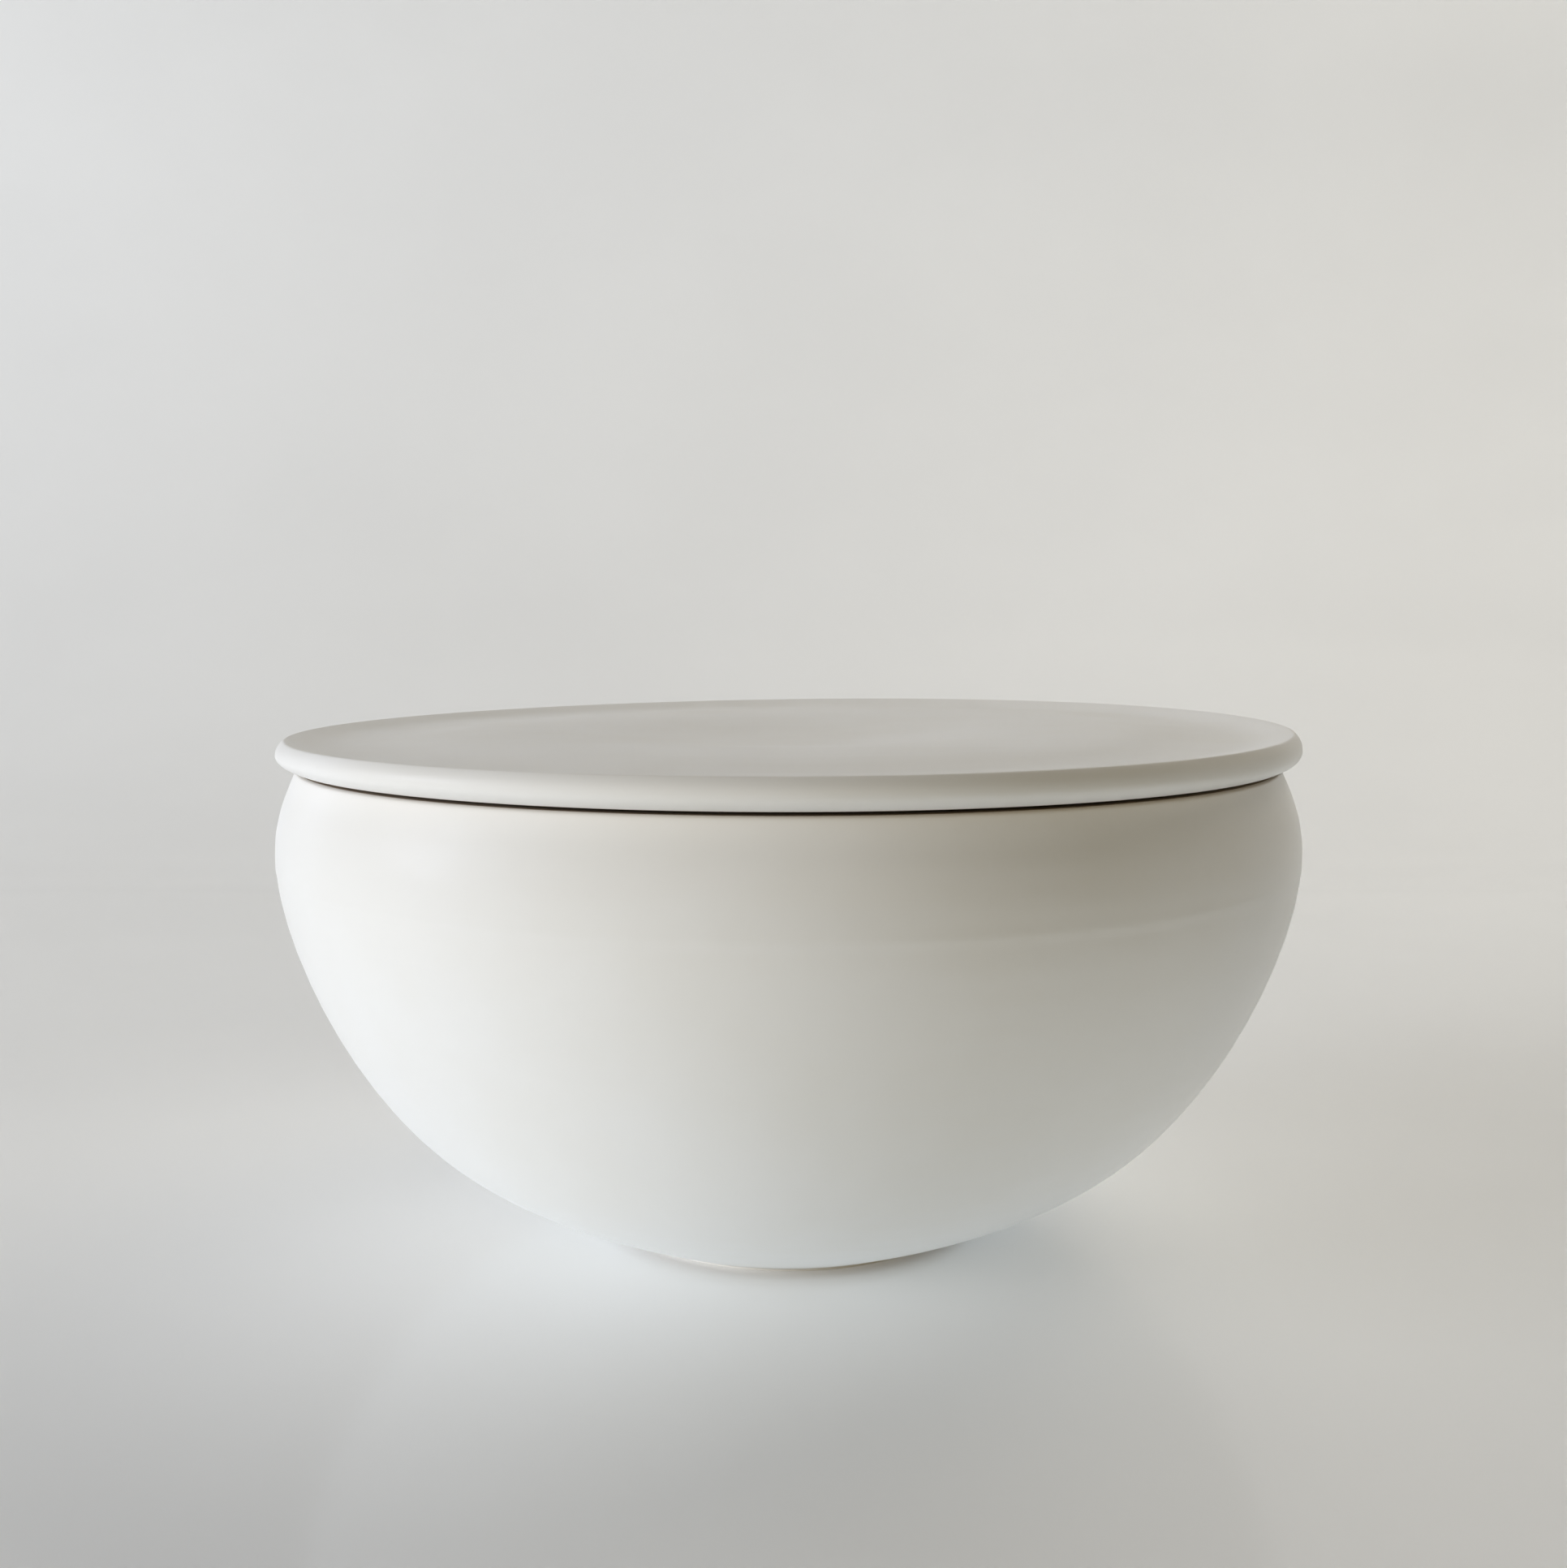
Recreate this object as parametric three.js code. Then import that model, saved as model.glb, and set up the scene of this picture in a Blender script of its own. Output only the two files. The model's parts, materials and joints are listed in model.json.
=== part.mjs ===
// Lidded bowl: a thrown bowl with a drawn-in shoulder, closed by a loose dished lid.
// Millimetres, +Z up. The origin is the middle of the foot, on the surface that the bowl stands on.
import * as THREE from 'three';

// Outside of the bowl
const FOOT_RADIUS = 37.2;
const FOOT_EDGE = 0.5; // upright edge between the foot's face and the wall
const FOOT_SLOPE = 22.9; // degrees, the wall's climb where it leaves the foot
const KNEE_RADIUS = 80.3; // where the low cone turns into the belly
const KNEE_HEIGHT = 24;
const KNEE_SLOPE = 42.4; // degrees
const BELLY_RADIUS = 110.4; // widest circle
const BELLY_HEIGHT = 86;
const SHOULDER_RISE = 17.7; // from the widest circle up to the rim
const SHOULDER_DRAW = 4.7; // how far the rim stands in from the widest circle
const RIM_LEAN = 23.7; // degrees in from upright, at the rim
const RIM_ROUND = 0.8; // outer edge of the rim
const MOUTH_ROUND = 1.3; // inner edge of the rim

// Inside and underside of the bowl
const WALL = 5.6;
const FLOOR = 7; // clay between the foot's recess and the inside
const FOOT_RING = 5.5; // width of the ring that the bowl stands on
const FOOT_RECESS = 1.8;

// Edge of the lid
const SEAT_GAP = 0.3; // between the rim and the lid that rests on it
const SEAT_RELIEF = 0.5; // rise of the seat from the rim's middle to the lip, which shows as a dark line
const EDGE_HEIGHT = 6.6; // from the seat up to the crest
const LID_OVERHANG = 4.1; // past the rim, so that fingers catch the edge
const LIP_OVERHANG = 0.9; // the edge's lowest corner, past the rim
const LIP_SLOPE = 20; // degrees, the climb of the edge where it leaves the lip
const NOSE_DROP = 3.2; // from the crest down to the widest circle
const CREST_INSET = 1.7; // crest, in from the widest circle
const CREST_SLOPE = 40; // degrees, the climb of the edge where it meets the crest

// Dish on top of the lid, measured in from its edge and down from its crest
const GUTTER_INSET = 13.5;
const GUTTER_DEPTH = 1.6;
const SWELL_INSET = 44;
const SWELL_DEPTH = 0.4;
const CENTRE_DEPTH = 2.6;

// Flange under the lid, which keeps it in the middle of the mouth
const FLANGE_CLEARANCE = 1.2;
const FLANGE_DEPTH = 7;
const FLANGE_WALL = 5;
const FLANGE_ROUND = 1.5;

// Fullness of the curves: each handle's share of the distance between the curve's ends
const FOOT_PULL = { leave: 1 / 3, arrive: 1 / 3 };
const BELLY_PULL = { leave: 0.36, arrive: 0.228 };
const SHOULDER_PULL = { leave: 0.447, arrive: 0.226 };
const EDGE_PULL = { leave: 0.36, arrive: 0.36 };
const GUTTER_FALL = 0.3; // how far the dish drops straight from the crest before it levels out

// The most of a wall's thickness that one rounding takes
const ROUND_SHARE = 0.4;

// Fineness of the surfaces
const AROUND = 64;
const FOOT_STEPS = 6;
const FLOOR_STEPS = 4;
const BELLY_STEPS = 11;
const SHOULDER_STEPS = 5;
const ROUND_STEPS = 3;
const NOSE_STEPS = 5;
const DISH_STEPS = 6;
const FLOOR_MEETS_WALL = 2; // step of the foot curve where the inside turns from floor into wall

const CLAY_WHITE = 0xf1eee8;
const SATIN_ROUGHNESS = 0.42;

// Heights and radii where the two pieces meet
const rimHeight = BELLY_HEIGHT + SHOULDER_RISE;
const rimRadius = BELLY_RADIUS - SHOULDER_DRAW;
const rimLean = THREE.MathUtils.degToRad(RIM_LEAN);
const mouthRadius = rimRadius - WALL / Math.cos(rimLean);
const seatHeight = rimHeight + SEAT_GAP;

const at = (radius, height) => new THREE.Vector2(radius, height);

/** A cubic curve between two points that leaves and arrives along the given headings. */
function sweep(start, startHeading, end, endHeading, pull) {
  const span = start.distanceTo(end);
  const out = at(Math.cos(startHeading), Math.sin(startHeading)).multiplyScalar(span * pull.leave);
  const into = at(Math.cos(endHeading), Math.sin(endHeading)).multiplyScalar(span * pull.arrive);
  return new THREE.CubicBezierCurve(start, start.clone().add(out), end.clone().sub(into), end);
}

/** A curve that runs level where it starts and where it ends. */
function levelEase(start, end) {
  const middle = (start.x + end.x) / 2;
  return new THREE.CubicBezierCurve(start, at(middle, start.y), at(middle, end.y), end);
}

/** A curve that falls away from the crest at once and runs level where it reaches the gutter. */
function intoGutter(crest, gutter) {
  const fall = crest.clone().lerp(gutter, GUTTER_FALL);
  const middle = (crest.x + gutter.x) / 2;
  return new THREE.CubicBezierCurve(crest, fall, at(middle, gutter.y), gutter);
}

/** Points round a corner, starting and ending the given reach away from it. */
function roundedCorner(before, corner, after, reach) {
  const start = corner.clone().add(before.clone().sub(corner).setLength(reach));
  const end = corner.clone().add(after.clone().sub(corner).setLength(reach));
  return new THREE.QuadraticBezierCurve(start, corner, end).getPoints(ROUND_STEPS);
}

/** Points and headings along a curve, from its start to its end. */
function stations(curve, steps) {
  return Array.from({ length: steps + 1 }, (_, i) => ({
    point: curve.getPoint(i / steps),
    heading: curve.getTangent(i / steps),
  }));
}

/** The outer wall from the foot's edge to the rim, as stations from bottom to top. */
function outerWall() {
  const upright = Math.PI / 2;
  const knee = at(KNEE_RADIUS, KNEE_HEIGHT);
  const kneeHeading = THREE.MathUtils.degToRad(KNEE_SLOPE);
  const belly = at(BELLY_RADIUS, BELLY_HEIGHT);
  const foot = at(FOOT_RADIUS, FOOT_EDGE);
  const footHeading = THREE.MathUtils.degToRad(FOOT_SLOPE);
  const rim = at(rimRadius, rimHeight);
  const low = sweep(foot, footHeading, knee, kneeHeading, FOOT_PULL);
  const side = sweep(knee, kneeHeading, belly, upright, BELLY_PULL);
  const shoulder = sweep(belly, upright, rim, upright + rimLean, SHOULDER_PULL);
  return [
    ...stations(low, FOOT_STEPS),
    ...stations(side, BELLY_STEPS).slice(1),
    ...stations(shoulder, SHOULDER_STEPS).slice(1),
  ];
}

/** The inside of the wall at one station: the clay thickens towards the foot. */
function innerPoint({ point, heading }) {
  const low = Math.max(0, 1 - point.y / BELLY_HEIGHT);
  const thickness = WALL + (FOOT_RECESS + FLOOR - WALL) * low * low;
  return point.clone().add(at(-heading.y, heading.x).multiplyScalar(thickness));
}

/** The floor inside the bowl, from the wall to the axis, level in the middle. */
function floorPoints(wallFoot) {
  const edge = innerPoint(wallFoot);
  const level = FOOT_RECESS + FLOOR;
  const bend = edge.x - ((edge.y - level) * wallFoot.heading.x) / wallFoot.heading.y;
  const curve = new THREE.QuadraticBezierCurve(edge, at(bend, level), at(0, level));
  return curve.getPoints(FLOOR_STEPS).slice(1);
}

/** Half of the bowl's cut face: under the foot, up the outside, over the rim, down the inside. */
function bowlOutline() {
  const outside = outerWall();
  const inside = outside.slice(FLOOR_MEETS_WALL).reverse();
  const innerWall = inside.map(innerPoint);
  const recess = FOOT_RADIUS - FOOT_RING;
  const rimOuter = at(rimRadius, rimHeight);
  const rimInner = at(mouthRadius, rimHeight);
  const rimReach = Math.min(RIM_ROUND, ROUND_SHARE * WALL);
  const mouthReach = Math.min(MOUTH_ROUND, ROUND_SHARE * WALL);
  const shoulderEnd = outside[outside.length - 2].point;
  return [
    at(0, FOOT_RECESS),
    at(recess - FOOT_RECESS, FOOT_RECESS),
    at(recess, 0),
    at(FOOT_RADIUS, 0),
    ...outside.slice(0, -1).map(({ point }) => point),
    ...roundedCorner(shoulderEnd, rimOuter, rimInner, rimReach),
    ...roundedCorner(rimOuter, rimInner, innerWall[0], mouthReach),
    ...innerWall,
    ...floorPoints(inside[inside.length - 1]),
  ];
}

/** The lid's rounded edge, from its lip over the widest circle to the crest. */
function lidEdge(lip, nose, crest) {
  const upright = Math.PI / 2;
  const leave = THREE.MathUtils.degToRad(LIP_SLOPE);
  const arrive = Math.PI - THREE.MathUtils.degToRad(CREST_SLOPE);
  return [
    ...sweep(lip, leave, nose, upright, EDGE_PULL).getPoints(NOSE_STEPS),
    ...sweep(nose, upright, crest, arrive, EDGE_PULL).getPoints(NOSE_STEPS).slice(1),
  ];
}

/** Half of the lid's cut face: flat underside, flange, seat, rounded edge, dish. */
function lidOutline() {
  const lidRadius = rimRadius + LID_OVERHANG;
  const crestHeight = seatHeight + EDGE_HEIGHT;
  const flangeOuter = mouthRadius - FLANGE_CLEARANCE;
  const flangeInner = flangeOuter - FLANGE_WALL;
  const flangeFoot = seatHeight - FLANGE_DEPTH;
  const reach = Math.min(FLANGE_ROUND, ROUND_SHARE * FLANGE_WALL);
  const rootInner = at(flangeInner, seatHeight);
  const tipInner = at(flangeInner, flangeFoot);
  const tipOuter = at(flangeOuter, flangeFoot);
  const seatEnd = at((mouthRadius + rimRadius) / 2, seatHeight);
  const lip = at(rimRadius + LIP_OVERHANG, seatHeight + SEAT_RELIEF);
  const nose = at(lidRadius, crestHeight - NOSE_DROP);
  const crest = at(lidRadius - CREST_INSET, crestHeight);
  const gutter = at(lidRadius - GUTTER_INSET, crestHeight - GUTTER_DEPTH);
  const swell = at(lidRadius - SWELL_INSET, crestHeight - SWELL_DEPTH);
  const centre = at(0, crestHeight - CENTRE_DEPTH);
  return [
    at(0, seatHeight),
    rootInner,
    ...roundedCorner(rootInner, tipInner, tipOuter, reach),
    ...roundedCorner(tipInner, tipOuter, at(flangeOuter, seatHeight), reach),
    at(flangeOuter, seatHeight),
    seatEnd,
    ...lidEdge(lip, nose, crest),
    ...intoGutter(crest, gutter).getPoints(DISH_STEPS).slice(1),
    ...levelEase(gutter, swell).getPoints(DISH_STEPS).slice(1),
    ...levelEase(swell, centre).getPoints(DISH_STEPS).slice(1),
  ];
}

/** One fired piece: its half outline turned about the upright axis, in satin white glaze. */
function thrownPiece(name, outline) {
  const geometry = new THREE.LatheGeometry(outline, AROUND);
  geometry.rotateX(Math.PI / 2);
  const glaze = new THREE.MeshStandardMaterial({
    color: CLAY_WHITE,
    roughness: SATIN_ROUGHNESS,
    metalness: 0,
  });
  const piece = new THREE.Mesh(geometry, glaze);
  piece.name = name;
  return piece;
}

const liddedBowl = new THREE.Group();
liddedBowl.name = 'lidded_bowl';
liddedBowl.add(thrownPiece('bowl', bowlOutline()));
liddedBowl.add(thrownPiece('lid', lidOutline()));

export default liddedBowl;
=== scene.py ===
"""Looks of the lidded bowl: a thrown white bowl and its loose dished lid, in satin glaze.

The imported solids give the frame. Both pieces are turned again from their half outlines, at a
finer grain and with the marks that the wheel, the hand and the kiln leave, and are dressed in a
procedural glaze. Everything is in metres, in the frame of the solids.
"""

import json
import logging
import math
from dataclasses import dataclass, field
from enum import Enum
from typing import Any, Iterable

import bmesh
import bpy
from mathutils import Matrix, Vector


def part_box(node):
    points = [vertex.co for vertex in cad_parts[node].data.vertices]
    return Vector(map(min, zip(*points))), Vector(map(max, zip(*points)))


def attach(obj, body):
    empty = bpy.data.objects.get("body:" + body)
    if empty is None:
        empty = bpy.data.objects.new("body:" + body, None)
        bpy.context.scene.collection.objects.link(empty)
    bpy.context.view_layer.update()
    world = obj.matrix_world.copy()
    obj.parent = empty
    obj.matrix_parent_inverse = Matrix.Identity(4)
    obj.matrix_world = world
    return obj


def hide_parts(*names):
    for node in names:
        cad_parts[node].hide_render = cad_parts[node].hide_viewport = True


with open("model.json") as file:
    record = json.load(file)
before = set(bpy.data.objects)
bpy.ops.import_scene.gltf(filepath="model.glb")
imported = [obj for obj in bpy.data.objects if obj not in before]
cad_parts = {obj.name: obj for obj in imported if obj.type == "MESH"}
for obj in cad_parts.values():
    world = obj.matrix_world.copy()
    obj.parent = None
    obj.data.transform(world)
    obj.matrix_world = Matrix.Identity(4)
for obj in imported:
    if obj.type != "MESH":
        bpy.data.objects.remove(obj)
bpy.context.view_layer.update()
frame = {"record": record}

MM = 0.001
MIDDLE = (0.0, 0.0, 55 * MM)  # of the object, where the lamps aim
UPRIGHT = math.pi / 2
SAME_POINT = 0.02 * MM  # points of an outline that lie closer than this count as one
CORNER_STEPS = 7
NOISE_MIDDLE = 0.5  # the value about which a noise swings
ONES = (1.0, 1.0, 1.0)
WHITE = (1.0, 1.0, 1.0, 1.0)
Colour = tuple[float, float, float]
Step = tuple[float, float]
Socket = bpy.types.NodeSocket

log = logging.getLogger("lidded_bowl")


class Cover(Enum):
    """What covers a stretch of a piece's surface."""

    GLAZE = 0.0
    BARE_CLAY = 1.0


class Touch(Enum):
    """How strongly the wheel's spiral shows on a stretch of surface."""

    TRUED = 0.0
    RIBBED = 0.3
    THROWN = 1.0


class Drawn(Enum):
    """The seed of each noise in a glaze."""

    CLOUD = 1.0
    LINES = 2.0
    CLAY_GRAIN = 3.0
    SHEEN = 4.0


def opaque(colour: Colour) -> tuple[float, float, float, float]:
    """A colour as a colour socket takes it."""
    return (*colour, 1.0)


def spot(radius: float, height: float) -> Vector:
    """A point of a cut face, by its distance from the axis and its height."""
    return Vector((radius, height))


def line(start: Vector, end: Vector, steps: int) -> list[Vector]:
    """Evenly spaced points of a straight stretch, both ends among them."""
    return [start.lerp(end, i / steps) for i in range(steps + 1)]


def bend(start: Vector, pull: Vector, end: Vector, steps: int) -> list[Vector]:
    """Points of a curve from start to end that is drawn towards one point."""
    shares = [i / steps for i in range(steps + 1)]
    return [start * (1 - t) ** 2 + pull * 2 * t * (1 - t) + end * t * t for t in shares]


def corner(before: Vector, tip: Vector, after: Vector, reach: float) -> list[Vector]:
    """Points round a corner.

    Args:
        before: A point that the outline comes from.
        tip: The sharp corner.
        after: A point that the outline goes to.
        reach: How far from the corner the rounding starts and ends.

    Returns:
        The rounding's points, in walking order.
    """
    start = tip + (before - tip).normalized() * reach
    end = tip + (after - tip).normalized() * reach
    return bend(start, tip, end, CORNER_STEPS)


@dataclass(frozen=True)
class Sweep:
    """A cubic curve in the cut face, held by its four points."""

    start: Vector
    leave: Vector
    arrive: Vector
    end: Vector

    @classmethod
    def headed(cls, start: Vector, heading: float, end: Vector, arrival: float,
               pulls: tuple[float, float]) -> "Sweep":
        """A curve that leaves and arrives along given headings.

        Args:
            start: Where it starts.
            heading: The way it leaves, in radians from level.
            end: Where it ends.
            arrival: The way it arrives, in radians from level.
            pulls: Each handle's share of the distance between the ends.

        Returns:
            The curve.
        """
        span = (end - start).length
        out = spot(math.cos(heading), math.sin(heading)) * span * pulls[0]
        into = spot(math.cos(arrival), math.sin(arrival)) * span * pulls[1]
        return cls(start, start + out, end - into, end)

    @classmethod
    def level(cls, start: Vector, end: Vector) -> "Sweep":
        """A curve that runs level where it starts and where it ends."""
        middle = (start.x + end.x) / 2
        return cls(start, spot(middle, start.y), spot(middle, end.y), end)

    def at(self, t: float) -> Vector:
        """The point at a share t of the curve."""
        s = 1 - t
        return (self.start * s ** 3 + self.leave * 3 * s * s * t
                + self.arrive * 3 * s * t * t + self.end * t ** 3)

    def heading(self, t: float) -> Vector:
        """The way that the curve runs.

        Args:
            t: A share of the curve.

        Returns:
            The unit direction of travel there.
        """
        s = 1 - t
        way = ((self.leave - self.start) * s * s + (self.arrive - self.leave) * 2 * s * t
               + (self.end - self.arrive) * t * t)
        return way.normalized()

    def points(self, steps: int) -> list[Vector]:
        """Points along the curve, both ends among them."""
        return [self.at(i / steps) for i in range(steps + 1)]


@dataclass(frozen=True)
class Station:
    """A point of the outer wall and the way that the wall runs there."""

    point: Vector
    heading: Vector

    def outward(self, distance: float) -> Vector:
        """The point that lies a distance outside the wall."""
        return self.point + spot(self.heading.y, -self.heading.x) * distance


@dataclass
class Outline:
    """Half of a turned piece's cut face, walked from the axis underneath to the axis on top."""

    points: list[Vector] = field(default_factory=list)
    covers: list[float] = field(default_factory=list)
    touches: list[float] = field(default_factory=list)

    def run(self, stretch: Iterable[Vector], cover: Cover = Cover.GLAZE,
            touch: Touch = Touch.RIBBED) -> None:
        """Adds a stretch, without a point that repeats where the walk has got to.

        Args:
            stretch: The stretch's points, in walking order.
            cover: What covers it.
            touch: How the wheel's spiral shows on it.
        """
        for point in stretch:
            if self.points and (point - self.points[-1]).length < SAME_POINT:
                continue
            self.points.append(point)
            self.covers.append(cover.value)
            self.touches.append(touch.value)

    def travel(self) -> list[float]:
        """Measures the walk.

        Returns:
            The length walked at each point.
        """
        walked = [0.0]
        for last, point in zip(self.points, self.points[1:]):
            walked.append(walked[-1] + (point - last).length)
        return walked

    def blank(self, name: str) -> bpy.types.Object:
        """A line of points in the cut plane that carries each point's cover, touch and travel.

        Args:
            name: The name of the new object.

        Returns:
            The linked object.
        """
        mesh = bpy.data.meshes.new(name)
        pairs = [(i, i + 1) for i in range(len(self.points) - 1)]
        mesh.from_pydata([(p.x, 0.0, p.y) for p in self.points], pairs, [])
        layers = {"cover": self.covers, "touch": self.touches, "travel": self.travel()}
        for layer, values in layers.items():
            mesh.attributes.new(layer, "FLOAT", "POINT").data.foreach_set("value", values)
        blank = bpy.data.objects.new(name, mesh)
        bpy.context.scene.collection.objects.link(blank)
        return blank


class Graph:
    """Adds and joins nodes in one tree, so that a formula reads as one line."""

    MIX_SHARE = 0
    MIX_NUMBERS = (2, 3)
    MIX_COLOURS = (6, 7)
    MIXED_NUMBER = 0
    MIXED_COLOUR = 2

    def __init__(self, tree: bpy.types.NodeTree) -> None:
        """Keeps the tree that the nodes go into."""
        self.tree = tree

    def add(self, kind: str, feeds: dict[Any, Any] | None = None, **settings: Any) -> bpy.types.Node:
        """Adds one node.

        Args:
            kind: The node's type name.
            feeds: Values or sockets for its inputs, by input name or number.
            **settings: Values for the node's own properties.

        Returns:
            The new node.
        """
        node = self.tree.nodes.new(kind)
        for name, value in settings.items():
            setattr(node, name, value)
        for key, value in (feeds or {}).items():
            if isinstance(value, bpy.types.NodeSocket):
                self.tree.links.new(value, node.inputs[key])
            else:
                node.inputs[key].default_value = value
        return node

    def math(self, operation: str, *values: Any) -> Socket:
        """The result of a number formula on values or sockets."""
        return self.add("ShaderNodeMath", dict(enumerate(values)), operation=operation).outputs[0]

    def vector(self, operation: str, *values: Any) -> Socket:
        """The result of a vector formula on values or sockets."""
        return self.add("ShaderNodeVectorMath", dict(enumerate(values)), operation=operation).outputs[0]

    def scaled(self, vector: Any, factor: Socket) -> Socket:
        """A vector times a number."""
        return self.add("ShaderNodeVectorMath", {"Vector": vector, "Scale": factor},
                        operation="SCALE").outputs[0]

    def ramp(self, value: Socket, low: Any, high: Any, to_low: Any = 0.0, to_high: Any = 1.0) -> Socket:
        """A smooth step from one value to another.

        Args:
            value: What is measured.
            low: Where the step starts.
            high: Where it ends.
            to_low: The result before the step.
            to_high: The result after it.

        Returns:
            The stepped value.
        """
        feeds = {"Value": value, "From Min": low, "From Max": high, "To Min": to_low, "To Max": to_high}
        return self.add("ShaderNodeMapRange", feeds, interpolation_type="SMOOTHSTEP").outputs["Result"]

    def noise(self, place: Socket, scale: Any, detail: float = 2.0, seed: Any = 0.0) -> Socket:
        """A cloud of values about 0.5, of the given fineness, at a place."""
        feeds = {"Vector": place, "W": seed, "Scale": scale, "Detail": detail}
        return self.add("ShaderNodeTexNoise", feeds, noise_dimensions="4D").outputs[0]

    def blend(self, share: Socket, first: Any, second: Any) -> Socket:
        """A number between two, by a share.

        Args:
            share: How much of the second number is taken.
            first: A number or a socket.
            second: A number or a socket.

        Returns:
            The number between them.
        """
        feeds = {self.MIX_SHARE: share, **dict(zip(self.MIX_NUMBERS, (first, second)))}
        return self.add("ShaderNodeMix", feeds, data_type="FLOAT").outputs[self.MIXED_NUMBER]

    def tint(self, share: Socket, first: Any, second: Any) -> Socket:
        """A colour between two, by a share.

        Args:
            share: How much of the second colour is taken.
            first: An opaque colour or a socket.
            second: An opaque colour or a socket.

        Returns:
            The colour between them.
        """
        feeds = {self.MIX_SHARE: share, **dict(zip(self.MIX_COLOURS, (first, second)))}
        return self.add("ShaderNodeMix", feeds, data_type="RGBA").outputs[self.MIXED_COLOUR]

    def looked_at(self) -> Socket:
        """One where a ray comes from the camera, a mirror or glass, and zero where it brings light.

        Returns:
            The number.
        """
        path = self.add("ShaderNodeLightPath").outputs
        mirrored = self.math("MAXIMUM", path["Is Glossy Ray"], path["Is Transmission Ray"])
        return self.math("MAXIMUM", path["Is Camera Ray"], mirrored)

    def layer(self, name: str) -> Socket:
        """The value of a stored layer of numbers, in a tree of geometry nodes."""
        return self.add("GeometryNodeInputNamedAttribute", {"Name": name}, data_type="FLOAT").outputs[0]


@dataclass(frozen=True)
class WheelMarks:
    """Marks of making on one piece: the fingers' spiral and the hand's wobble."""

    around: int
    spiral_depth: float
    spiral_pitch: float
    wobble: float
    wobble_size: float
    seed: float


@dataclass(frozen=True)
class KilnWarp:
    """How the fired rim and lid lean to one side, more at the back, and most at the lid's crest."""

    radius: float
    seat_height: float
    crest_height: float
    tilt: float = 0.95 * MM
    twist: float = 0.6 * MM
    start_height: float = 60 * MM
    seat_share: float = 0.2


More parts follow.
